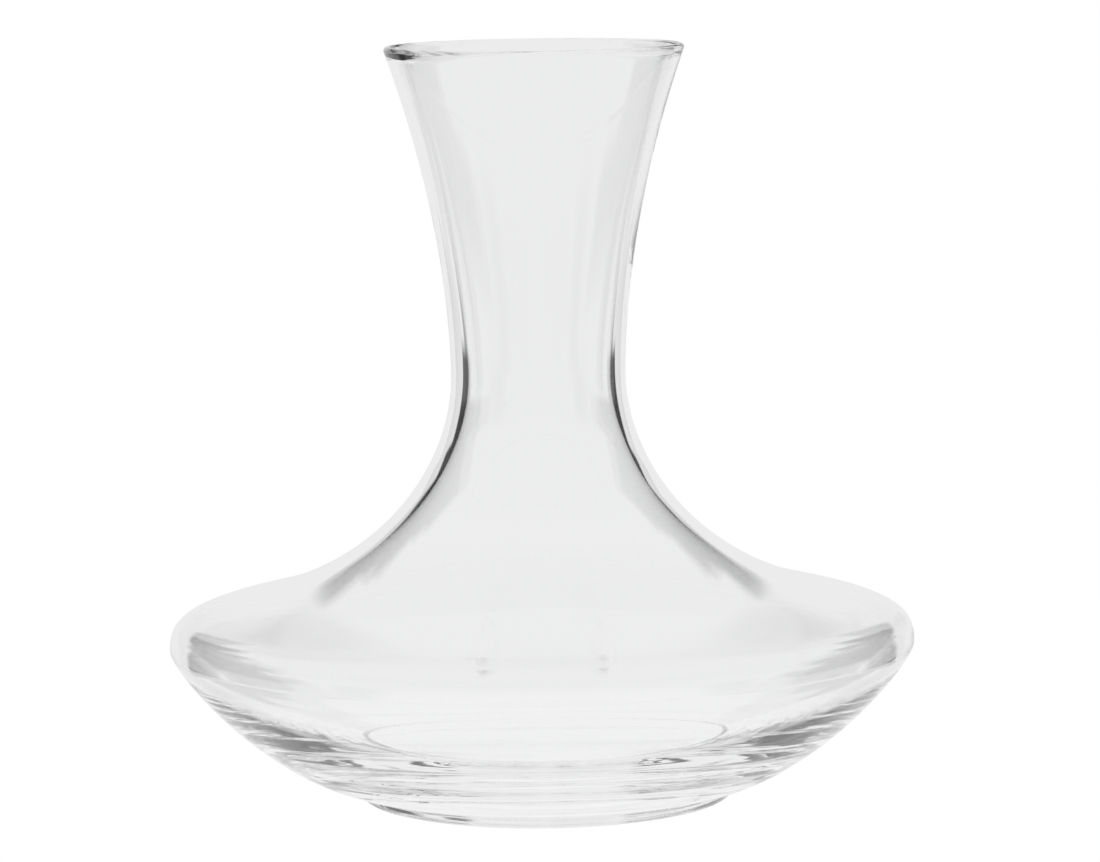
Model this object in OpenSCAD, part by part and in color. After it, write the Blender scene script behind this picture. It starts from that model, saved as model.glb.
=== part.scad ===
// Wine decanter: one piece of blown crystal, drawn as the named regions of its glass.
// Each region is a closed solid of revolution about +Z. Neighbours meet face to face on
// cuts made across the wall. The origin is the centre of the foot's standing plane.

/* [Overall] */
// Height from the table to the top of the lip
height = 211; // [203:1:222]
// Outside diameter of the bowl at its widest
bowl_d = 209; // [200:1:218]
// Height of the widest place above the table
bowl_h = 43.5; // [41:0.5:47]

/* [Neck] */
// Outside diameter of the mouth at the lip
mouth_d = 83.4; // [76:0.2:92]
// Outside diameter of the throat, the narrowest place
throat_d = 48.8; // [44:0.2:54]
// Height of the throat above the table
throat_h = 118.8; // [114:0.2:124]
// Lean of the neck wall at the mouth, from upright
mouth_lean = 19.7; // [12:0.1:24]

/* [Shoulder] */
// Radius of the place where the shoulder turns from bulging to hollow
turn_r = 80; // [76:0.5:84]
// Height of that place above the table
turn_h = 57.5; // [56:0.5:60]
// Rise of the shoulder there, from level
turn_rise = 15.6; // [12:0.1:20]

/* [Foot] */
// Outside diameter of the foot
foot_d = 104.6; // [98:0.2:110]
// Height of the foot's upright edge
foot_h = 3; // [2.6:0.1:4]
// Radius of the foot's rounded bottom edge
foot_edge_r = 1.6; // [0.8:0.1:2]
// Width of the flat ring that touches the table
standing_w = 6.7; // [2:0.1:10]
// Depth of the shallow hollow under the foot
punt_depth = 1.2; // [0.6:0.1:1.6]

/* [Glass] */
// Wall thickness at the lip
lip_t = 2.1; // [1.8:0.1:3]
// Wall thickness at the throat
throat_t = 4.4; // [3.5:0.1:5.5]
// Wall thickness where the shoulder turns
turn_t = 3; // [2.4:0.1:4]
// Wall thickness at the widest place
belly_t = 2.7; // [2.4:0.1:3.4]
// Height of the cavity's floor above the table
floor_h = 13; // [11:0.5:14]
// Radius of the level part of the cavity's floor
floor_r = 50; // [46:0.5:52]

/* [Hidden] */
$fn = 96;

// Radii
bowl_r = bowl_d / 2;
mouth_r = mouth_d / 2;
throat_r = throat_d / 2;
foot_r = foot_d / 2;
punt_r = foot_r - foot_edge_r - standing_w;

// Number of straight steps that each curved stretch of the outline is drawn with
bowl_steps = 18;
cove_steps = 22;
belly_steps = 10;
shoulder_steps = 18;
neck_steps = 16;
rim_steps = 2;
lip_steps = 8;
edge_steps = 6;
punt_steps = 8;

// Share of the neck's curve, below the lip, that belongs to the rim
rim_share = 0.06;

// Handles of the outline's curves: how far each curve holds its direction at its ends
foot_flare = 8; // rise of the wall as it leaves the foot, from level, in degrees
foot_pull = 26.5;
flank_pull = 4.3;
belly_pull = 9.4;
turn_pull_down = 19.1;
turn_pull_up = 42.8;
throat_pull_down = 20;
throat_pull_up = 13.2;
mouth_pull = 45.4;
floor_pull = 31;
cavity_pull = 4;

// Colours
crystal = [0.88, 0.91, 0.92, 0.45];
crystal_thick = [0.78, 0.84, 0.86, 0.6];

// A cubic curve from p[0] to p[3] with handles p[1] and p[2], and its direction
function curve(p, t) =
    pow(1 - t, 3) * p[0] + 3 * pow(1 - t, 2) * t * p[1]
    + 3 * (1 - t) * t * t * p[2] + pow(t, 3) * p[3];
function slope(p, t) =
    pow(1 - t, 2) * (p[1] - p[0]) + 2 * (1 - t) * t * (p[2] - p[1]) + t * t * (p[3] - p[2]);

// The unit direction square to v and to its left, which on a rising outline is inwards
function inward(v) = [-v.y, v.x] / norm(v);

// A thickness that passes smoothly from a to b as t goes from 0 to 1
function ease(a, b, t) = a + (b - a) * (1 - cos(180 * t)) / 2;

// Points on a curve, and on the wall's inside at a thickness that goes from a to b
function outside(p, from, to, steps) =
    [for (i = [0 : steps]) curve(p, from + (to - from) * i / steps)];
function inside(p, a, b, from, to, steps) =
    [for (i = [0 : steps])
        let (t = from + (to - from) * i / steps)
        curve(p, t) + ease(a, b, t) * inward(slope(p, t))];
function reversed(list) = [for (i = [len(list) - 1 : -1 : 0]) list[i]];

// Places and directions on the outside of the glass
turn_dir = [-cos(turn_rise), sin(turn_rise)];
mouth_dir = [sin(mouth_lean), cos(mouth_lean)];
foot_dir = [cos(foot_flare), sin(foot_flare)];
foot_top = [foot_r, foot_h];
widest = [bowl_r, bowl_h];
turn = [turn_r, turn_h];
throat = [throat_r, throat_h];
mouth = [mouth_r, height - lip_t / 2 * (1 + sin(mouth_lean))];

// Curves of the outside, from the foot to the lip
flank = [foot_top, foot_top + foot_pull * foot_dir, widest - [0, flank_pull], widest];
bulge = [widest, widest + [0, belly_pull], turn - turn_pull_down * turn_dir, turn];
hollow = [turn, turn + turn_pull_up * turn_dir, throat - [0, throat_pull_down], throat];
flare = [throat, throat + [0, throat_pull_up], mouth - mouth_pull * mouth_dir, mouth];

// The cavity below the widest place: a level floor, and the cove that rises from it
floor_edge = [floor_r, floor_h];
cavity_widest = [bowl_r - belly_t, bowl_h];
cove = [floor_edge, floor_edge + [floor_pull, 0], cavity_widest - [0, cavity_pull], cavity_widest];

// A solid of revolution whose section lies between an outer and an inner line
module shell(outer, inner)
{
    rotate_extrude()
    polygon(concat(outer, reversed(inner)));
}

// The pad that the decanter stands on, with a shallow hollow inside its standing ring
module foot()
{
    dome_r = (punt_r * punt_r + punt_depth * punt_depth) / (2 * punt_depth);
    dome_angle = asin(punt_r / dome_r);
    color(crystal_thick)
    rotate_extrude()
    polygon(concat(
        [for (i = [0 : punt_steps])
            let (a = dome_angle * i / punt_steps)
            [dome_r * sin(a), punt_depth - dome_r * (1 - cos(a))]],
        [for (i = [0 : edge_steps])
            let (a = 90 * i / edge_steps)
            [foot_r - foot_edge_r * (1 - sin(a)), foot_edge_r * (1 - cos(a))]],
        [foot_top, [0, foot_h]]
    ));
}

// The thick floor of the bowl, between the foot and the cavity
module base()
{
    color(crystal_thick)
    rotate_extrude()
    polygon([[0, foot_h], foot_top, floor_edge, [0, floor_h]]);
}

// The flank of the bowl, from the foot out to the widest place
module bowl()
{
    color(crystal)
    shell(outside(flank, 0, 1, bowl_steps), outside(cove, 0, 1, cove_steps));
}

// The rounded top of the bowl, from the widest place in to where the shoulder turns
module belly()
{
    color(crystal)
    shell(outside(bulge, 0, 1, belly_steps), inside(bulge, belly_t, turn_t, 0, 1, belly_steps));
}

// The hollow sweep from the bowl up to the throat
module shoulder()
{
    color(crystal)
    shell(outside(hollow, 0, 1, shoulder_steps),
        inside(hollow, turn_t, throat_t, 0, 1, shoulder_steps));
}

// The flared neck, from the throat up to the rim
module neck()
{
    color(crystal)
    shell(outside(flare, 0, 1 - rim_share, neck_steps),
        inside(flare, throat_t, lip_t, 0, 1 - rim_share, neck_steps));
}

// The rim, with its rounded, fire-polished lip
module rim()
{
    start = 1 - rim_share;
    across = inward(mouth_dir);
    lip = mouth + lip_t / 2 * across;
    color(crystal)
    shell(
        concat(outside(flare, start, 1, rim_steps),
            [for (i = [1 : lip_steps - 1])
                let (a = 180 * i / lip_steps)
                lip + lip_t / 2 * (sin(a) * mouth_dir - cos(a) * across)]),
        inside(flare, throat_t, lip_t, start, 1, rim_steps)
    );
}

foot();
base();
bowl();
belly();
shoulder();
neck();
rim();
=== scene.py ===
import math

import bmesh
import bpy
import numpy as np
from mathutils import Matrix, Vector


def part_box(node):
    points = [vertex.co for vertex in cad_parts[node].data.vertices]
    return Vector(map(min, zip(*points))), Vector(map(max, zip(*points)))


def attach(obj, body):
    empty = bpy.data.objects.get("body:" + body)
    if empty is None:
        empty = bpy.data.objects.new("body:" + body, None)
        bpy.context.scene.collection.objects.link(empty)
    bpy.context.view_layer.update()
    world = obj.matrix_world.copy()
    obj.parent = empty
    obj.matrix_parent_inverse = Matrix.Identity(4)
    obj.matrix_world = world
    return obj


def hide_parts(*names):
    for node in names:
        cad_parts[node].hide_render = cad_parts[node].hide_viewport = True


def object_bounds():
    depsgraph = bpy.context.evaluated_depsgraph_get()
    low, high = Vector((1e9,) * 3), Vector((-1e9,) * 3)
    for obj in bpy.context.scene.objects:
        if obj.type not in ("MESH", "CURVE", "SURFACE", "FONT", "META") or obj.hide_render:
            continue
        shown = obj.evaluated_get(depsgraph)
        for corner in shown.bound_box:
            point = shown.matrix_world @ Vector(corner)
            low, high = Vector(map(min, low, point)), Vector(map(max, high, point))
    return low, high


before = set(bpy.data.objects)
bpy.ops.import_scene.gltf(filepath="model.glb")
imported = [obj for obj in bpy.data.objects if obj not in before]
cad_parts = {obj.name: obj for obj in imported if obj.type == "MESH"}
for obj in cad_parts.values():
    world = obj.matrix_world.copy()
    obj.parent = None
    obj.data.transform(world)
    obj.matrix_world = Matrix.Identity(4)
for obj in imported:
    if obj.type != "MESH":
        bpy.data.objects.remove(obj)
cad_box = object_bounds()
MM = 0.001

# ---------------------------------------------------------------- camera
# A long lens a little above the mouth's height, aimed at the middle of the decanter.
CAM_DISTANCE = 1.412
CAM_HEIGHT = 0.2738
CAM_ROLL = 0.82
LENS, SENSOR = 166.222, 36  # millimetres
SHIFT_X, SHIFT_Y = 0.010, -0.008192  # fractions of the picture's width

high = cad_box[1]
cam_data = bpy.data.cameras.new("camera")
cam = bpy.data.objects.new("camera", cam_data)
bpy.context.collection.objects.link(cam)
bpy.context.scene.camera = cam
pitch = math.atan2(CAM_HEIGHT - high.z / 2, CAM_DISTANCE)
cam.location = (0, -CAM_DISTANCE, CAM_HEIGHT)
turned = Matrix.Rotation(math.radians(90) - pitch, 3, "X")
turned = turned @ Matrix.Rotation(math.radians(-CAM_ROLL), 3, "Z")
cam.rotation_euler = turned.to_euler()
cam_data.sensor_width = SENSOR
cam_data.lens = LENS
cam_data.shift_x = SHIFT_X
cam_data.shift_y = SHIFT_Y
cam_data.clip_end = 50


# ---------------------------------------------------------------- the section of the glass
def ring(node, top, outer):
    """Radius, in mm, of a CAD node's outer or inner edge on its top or bottom plane."""
    co = np.array([v.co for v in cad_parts[node].data.vertices]) / MM
    z = co[:, 2].max() if top else co[:, 2].min()
    r = np.hypot(co[:, 0], co[:, 1])[abs(co[:, 2] - z) < 0.01]
    return float(r.max() if outer else r.min())


def height_of(node, top=True):
    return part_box(node)[1 if top else 0].z / MM


def widest_point(node):
    """Radius and height, in mm, where a CAD node is widest."""
    co = np.array([v.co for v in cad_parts[node].data.vertices]) / MM
    r = np.hypot(co[:, 0], co[:, 1])
    return np.array([r.max(), co[r > r.max() - 0.01, 2].mean()])


def bezier(p, t):
    p = [np.array(q, float) for q in p]
    t = np.asarray(t)[:, None]
    return (1 - t) ** 3 * p[0] + 3 * (1 - t) ** 2 * t * p[1] + 3 * (1 - t) * t * t * p[2] + t**3 * p[3]


def tangent(p, t):
    p = [np.array(q, float) for q in p]
    t = np.asarray(t)[:, None]
    d = (1 - t) ** 2 * (p[1] - p[0]) + 2 * (1 - t) * t * (p[2] - p[1]) + t * t * (p[3] - p[2])
    return d / np.linalg.norm(d, axis=1)[:, None]


def within(p, a, b, t):
    """The inside of a wall whose thickness passes from a to b."""
    d = tangent(p, t)
    thick = a + (b - a) * (1 - np.cos(np.pi * np.asarray(t))) / 2
    return bezier(p, t) + thick[:, None] * np.c_[-d[:, 1], d[:, 0]]


def heading(angle):
    return np.array([math.cos(math.radians(angle)), math.sin(math.radians(angle))])


LIP, THROAT, TURN, BELLY = 2.1, 4.4, 3.0, 2.7  # wall thicknesses
FOOT_EDGE, STANDING, PUNT = 1.6, 6.7, 1.2  # edge radius, ring width, hollow depth
MOUTH_LEAN, TURN_RISE, FOOT_FLARE = 19.7, 15.6, 8.0  # slopes in degrees
FLOOR_R = ring("base", True, True)

foot_r, foot_h = ring("base", False, True), height_of("foot")
bowl_r, bowl_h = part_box("bowl")[1].x / MM, height_of("bowl")
turn = widest_point("shoulder")
throat = np.array([ring("neck", False, True), height_of("neck", False)])
mouth_h = high.z / MM - LIP / 2 * (1 + math.sin(math.radians(MOUTH_LEAN)))
mouth_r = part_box("rim")[1].x / MM - LIP / 2 * (1 - math.cos(math.radians(MOUTH_LEAN)))
floor_h = height_of("base")

# the curves of the section: each is a cubic between two named points
foot_top = np.array([foot_r, foot_h])
widest = np.array([bowl_r, bowl_h])
mouth = np.array([mouth_r, mouth_h])
turn_dir = np.array([-1, 1]) * heading(TURN_RISE)
mouth_dir = heading(90 - MOUTH_LEAN)

flank = [foot_top, foot_top + 26.5 * heading(FOOT_FLARE), widest - [0, 4.3], widest]
bulge = [widest, widest + [0, 9.4], turn - 19.1 * turn_dir, turn]
hollow = [turn, turn + 42.8 * turn_dir, throat - [0, 20], throat]
flare = [throat, throat + [0, 13.2], mouth - 45.4 * mouth_dir, mouth]
in_wide = np.array([bowl_r - BELLY, bowl_h])
cove = [[FLOOR_R, floor_h], [FLOOR_R + 31, floor_h], in_wide - [0, 4], in_wide]


def steps(n):
    return np.linspace(0, 1, n + 1)


# under the foot: the shallow hollow, the ground ring and the rounded edge
punt_r = foot_r - FOOT_EDGE - STANDING
dome = (punt_r**2 + PUNT**2) / (2 * PUNT)
a = np.linspace(0, math.asin(punt_r / dome), 14)
under = np.c_[dome * np.sin(a), PUNT - dome * (1 - np.cos(a))]
a = np.linspace(0, math.pi / 2, 9)
ring_flat = np.c_[np.linspace(punt_r, foot_r - FOOT_EDGE, 6)[1:-1], np.zeros(4)]
edge = np.c_[foot_r - FOOT_EDGE * (1 - np.sin(a)), FOOT_EDGE * (1 - np.cos(a))]
side = np.array([[foot_r, z] for z in np.linspace(FOOT_EDGE, foot_h, 3)[1:-1]])

outer = [bezier(flank, steps(64)), bezier(bulge, steps(26))[1:]]
outer += [bezier(hollow, steps(46))[1:], bezier(flare, steps(44))[1:]]
outer = np.vstack(outer)
inner = [np.c_[np.linspace(0, FLOOR_R, 16), np.full(16, floor_h)], bezier(cove, steps(90))[1:]]
inner += [within(bulge, BELLY, TURN, steps(26))[1:], within(hollow, TURN, THROAT, steps(46))[1:]]
inner += [within(flare, THROAT, LIP, steps(44))[1:]]
inner = np.vstack(inner)
c, half = (outer[-1] + inner[-1]) / 2, (outer[-1] - inner[-1]) / 2
up = np.array([-half[1], half[0]])
up = up if up[1] > 0 else -up
a = np.linspace(0, math.pi, 13)[1:-1, None]
lip = c + np.cos(a) * half + np.sin(a) * up

AROUND = 224
profile = np.vstack([under, ring_flat, edge, side, outer, lip, inner[::-1]])
is_inner = np.r_[np.zeros(len(profile) - len(inner)), np.ones(len(inner))]

# ---------------------------------------------------------------- handwork
# Thickness that varies round the wall, fine tooling ripples on the inside of the cove, and
# an inner wall and a foot that stand a little off the axis. All stay inside the CAD's box.
theta = np.linspace(0, 2 * math.pi, AROUND, endpoint=False)
along = np.r_[0, np.cumsum(np.linalg.norm(np.diff(profile, axis=0), axis=1))]
R, T = np.meshgrid(profile[:, 0], theta, indexing="ij")
Z = np.repeat(profile[:, 1][:, None], AROUND, axis=1)
S = np.repeat(along[:, None], AROUND, axis=1)
IN = np.repeat(is_inner[:, None], AROUND, axis=1)
normal = np.gradient(profile, axis=0)
normal /= np.linalg.norm(normal, axis=1)[:, None] + 1e-9
N2 = np.c_[normal[:, 1], -normal[:, 0]]  # points out of the glass


def bump(x, lo, hi, soft):
    a = np.clip((x - lo) / soft + 0.5, 0, 1)
    b = np.clip((hi - x) / soft + 0.5, 0, 1)
    return a * a * (3 - 2 * a) * b * b * (3 - 2 * b)


RIPPLE, WANDER = 0.045, 0.03  # depth of the ripples and of the slow thickness change
NECK_SHIFT, FOOT_SHIFT = 0.27, 1.0
cove_zone = IN * bump(R, 49, 74, 6) * bump(Z, -5, 24, 6)
fine = (
    np.sin(S / 0.62 + 1.3 * np.sin(2 * T + 0.7) + 0.8 * np.sin(5 * T))
    + 0.8 * np.sin(S / 0.97 + 2.1 * np.sin(T + 2.0) + 0.5 * np.sin(7 * T + 1.0))
    + 0.6 * np.sin(S / 1.75 + 1.7 * np.sin(3 * T + 4.0))
)
slow = (
    np.sin(2 * T + 0.4) + 0.6 * np.sin(3 * T + S / 17 + 1.9) + 0.45 * np.sin(5 * T - S / 11)
    + 0.3 * np.sin(9 * T + S / 8 + 0.5)
)
depth = RIPPLE * fine * cove_zone * (0.6 + 0.4 * np.sin(T * 2 + 1))
depth += WANDER * slow * IN * (R > 1)
R2 = R + depth * N2[:, 0][:, None] * np.clip(R / 20, 0, 1)
Z2 = Z + depth * N2[:, 1][:, None] * np.clip(R / 20, 0, 1)
shift_in = NECK_SHIFT * IN * bump(Z, 90, 400, 40)
lean = FOOT_SHIFT * bump(Z, -50, 4, 16) * (1 - IN)
X = R2 * np.cos(T) + shift_in + lean
Y = R2 * np.sin(T)

# ---------------------------------------------------------------- the glass mesh
bm = bmesh.new()
rings = []
for i, (r, z) in enumerate(profile):
    if r < 1e-6:
        rings.append([bm.verts.new((X[i, 0] * MM, 0, Z2[i, 0] * MM))])
    else:
        rings.append([bm.verts.new((X[i, j] * MM, Y[i, j] * MM, Z2[i, j] * MM)) for j in range(AROUND)])
for one, two in zip(rings[:-1], rings[1:]):
    for j in range(AROUND):
        k = (j + 1) % AROUND
        if len(one) == 1:
            bm.faces.new((one[0], two[k], two[j]))
        elif len(two) == 1:
            bm.faces.new((one[j], one[k], two[0]))
        else:
            bm.faces.new((one[j], one[k], two[k], two[j]))
bmesh.ops.recalc_face_normals(bm, faces=bm.faces)
for f in bm.faces:
    f.smooth = True
mesh = bpy.data.meshes.new("decanter_glass")
bm.to_mesh(mesh)
bm.free()
glass = bpy.data.objects.new("decanter_glass", mesh)
bpy.context.collection.objects.link(glass)


# ---------------------------------------------------------------- node helpers
class Net:
    def __init__(self, tree):
        self.tree = tree
        tree.nodes.clear()

    def add(self, kind, **sets):
        n = self.tree.nodes.new(kind)
        for k, v in sets.items():
            setattr(n, k, v)
        return n

    def link(self, a, b):
        self.tree.links.new(a, b)

    def math(self, op, *values):
        n = self.add("ShaderNodeMath", operation=op)
        for i, v in enumerate(values):
            if isinstance(v, (int, float)):
                n.inputs[i].default_value = v
            else:
                self.link(v, n.inputs[i])
        return n.outputs[0]

    def step(self, v, lo, hi):
        n = self.add("ShaderNodeMapRange", interpolation_type="SMOOTHSTEP")
        self.link(v, n.inputs[0])
        n.inputs[1].default_value = lo
        n.inputs[2].default_value = hi
        return n.outputs[0]

    def window(self, v, lo, hi, soft):
        rise = self.step(v, lo - soft, lo + soft)
        fall = self.math("SUBTRACT", 1.0, self.step(v, hi - soft, hi + soft))
        return self.math("MULTIPLY", rise, fall)


# ---------------------------------------------------------------- crystal
TINT = (0.996, 0.998, 0.998, 1)
WAVES, TOOLING, SCUFFS = 0.016, 0.012, 0.003  # heights in mm
crystal = bpy.data.materials.new("clear_crystal")
crystal.use_nodes = True
net = Net(crystal.node_tree)
out = net.add("ShaderNodeOutputMaterial")
shader = net.add("ShaderNodeBsdfPrincipled")
net.link(shader.outputs[0], out.inputs[0])
shader.inputs["Base Color"].default_value = TINT
shader.inputs["Roughness"].default_value = 0.0
shader.inputs["IOR"].default_value = 1.52
shader.inputs["Transmission Weight"].default_value = 1.0

# Three reliefs, all far too shallow to model: long waves drawn up the wall, tooling rings in
# the thick bottom, and fine scuffs on the ring it stands on.
place = net.add("ShaderNodeTexCoord").outputs["Object"]
level = net.add("ShaderNodeSeparateXYZ")
net.link(place, level.inputs[0])
low_down = net.math("SUBTRACT", 1.0, net.step(level.outputs[2], 0.012, 0.034))
resting = net.math("SUBTRACT", 1.0, net.step(level.outputs[2], 0.0001, 0.0006))


def relief(stretch, scale, detail, height):
    shape = net.add("ShaderNodeVectorMath", operation="MULTIPLY")
    shape.inputs[1].default_value = stretch
    net.link(place, shape.inputs[0])
    noise = net.add("ShaderNodeTexNoise")
    noise.inputs["Scale"].default_value = scale
    noise.inputs["Detail"].default_value = detail
    net.link(shape.outputs[0], noise.inputs["Vector"])
    return net.math("MULTIPLY", noise.outputs[0], height)


height = relief((1, 1, 0.22), 70, 1.0, WAVES)
tooling = net.math("MULTIPLY", relief((0.3, 0.3, 3), 110, 2.0, TOOLING), low_down)
height = net.math("ADD", height, tooling)
scuffs = net.math("MULTIPLY", relief((1, 1, 1), 2600, 4.0, SCUFFS), resting)
height = net.math("ADD", height, scuffs)
surface = net.add("ShaderNodeBump")
surface.inputs["Strength"].default_value = 1.0
surface.inputs["Distance"].default_value = MM
net.link(height, surface.inputs["Height"])
net.link(surface.outputs[0], shader.inputs["Normal"])
mesh.materials.append(crystal)

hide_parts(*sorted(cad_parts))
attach(glass, "root")

# ---------------------------------------------------------------- table
# The table glows evenly, except out to 70 mm from the axis, where it glows brighter: a painted pool of
# light under the glass that fades out by 160 mm.
TABLE_R = 0.25
PAINTED_POOL = 0.9
ROOM = 0.84


def shown_white(net, light):
    """The room's light as the glass gets it, while the picture's own background stays white."""
    seen = net.add("ShaderNodeLightPath").outputs["Is Camera Ray"]
    unseen = net.math("SUBTRACT", 1.0, seen)
    return net.math("ADD", net.math("MULTIPLY", light, unseen), seen)


bm = bmesh.new()
bmesh.ops.create_circle(bm, cap_ends=True, radius=TABLE_R, segments=160)
bmesh.ops.translate(bm, verts=bm.verts, vec=(0, 0, -0.0002))
table_mesh = bpy.data.meshes.new("table_top")
bm.to_mesh(table_mesh)
bm.free()
table = bpy.data.objects.new("table_top", table_mesh)
bpy.context.collection.objects.link(table)
white = bpy.data.materials.new("white_table")
white.use_nodes = True
net = Net(white.node_tree)
out = net.add("ShaderNodeOutputMaterial")
mix = net.add("ShaderNodeAddShader")
glow = net.add("ShaderNodeEmission")
matt = net.add("ShaderNodeBsdfDiffuse")
matt.inputs[0].default_value = (0.02, 0.02, 0.02, 1)
glow.inputs[0].default_value = (1, 1, 1, 1)
where = net.add("ShaderNodeNewGeometry")
flat = net.add("ShaderNodeVectorMath", operation="MULTIPLY")
flat.inputs[1].default_value = (1, 1, 0)
net.link(where.outputs["Position"], flat.inputs[0])
far = net.add("ShaderNodeVectorMath", operation="LENGTH")
net.link(flat.outputs[0], far.inputs[0])
# painted pool of light: a brighter glow beneath the decanter, fading to the room's level from 70 to 160
# mm out
beyond_pool = net.step(far.outputs["Value"], 0.07, 0.16)
strength = net.math("ADD", PAINTED_POOL, net.math("MULTIPLY", beyond_pool, ROOM - PAINTED_POOL))
net.link(shown_white(net, strength), glow.inputs[1])
net.link(glow.outputs[0], mix.inputs[0])
net.link(matt.outputs[0], mix.inputs[1])
net.link(mix.outputs[0], out.inputs[0])
table_mesh.materials.append(white)

# ---------------------------------------------------------------- studio
# An even pale room with dark and dim flags, mirrored left and right.
# Each zone: azimuth from straight behind, elevation, softness (degrees) and brightness.
ZONES = [
    (48, 57, -25, -10, 1.5, 0.3),
    (40, 62, -12, 16, 1.5, 0.0),
    (113, 129, -10, 15, 5.0, 0.35),
    (44, 80, 14, 38, 2.0, 0.0),
    (60, 100, 2, 16, 3.0, 0.0),
    (34, 46, 10, 34, 1.5, 0.0),
    (24, 36, 15.5, 34, 1.5, 0.0),
    (15, 25, 16, 27, 1.5, 0.0),
    (0, 13, 21, 32, 3.0, 0.62),
]
world = bpy.data.worlds.new("studio")
bpy.context.scene.world = world
world.use_nodes = True
net = Net(world.node_tree)
out = net.add("ShaderNodeOutputWorld")
sky = net.add("ShaderNodeBackground")
sky.inputs[0].default_value = (1, 1, 1, 1)
coord = net.add("ShaderNodeTexCoord")
parts = net.add("ShaderNodeSeparateXYZ")
net.link(coord.outputs["Generated"], parts.inputs[0])
azimuth = net.math("ABSOLUTE", net.math("ARCTAN2", parts.outputs[0], parts.outputs[1]))
elevation = net.math("ARCSINE", parts.outputs[2])
light = net.math("ADD", ROOM, 0.0)
for az0, az1, el0, el1, soft, value in ZONES:
    rad = [math.radians(x) for x in (az0, az1, el0, el1, soft)]
    across = net.window(azimuth, rad[0], rad[1], rad[4])
    upward = net.window(elevation, rad[2], rad[3], rad[4])
    mask = net.math("MULTIPLY", across, upward)
    rest = net.math("MULTIPLY", light, net.math("SUBTRACT", 1.0, mask))
    light = net.math("ADD", rest, net.math("MULTIPLY", mask, value))
net.link(shown_white(net, light), sky.inputs[1])
net.link(sky.outputs[0], out.inputs[0])

# ---------------------------------------------------------------- how light is followed
scene = bpy.context.scene
scene.view_settings.view_transform = "Standard"
scene.cycles.max_bounces = 64
scene.cycles.transmission_bounces = 64
scene.cycles.glossy_bounces = 64
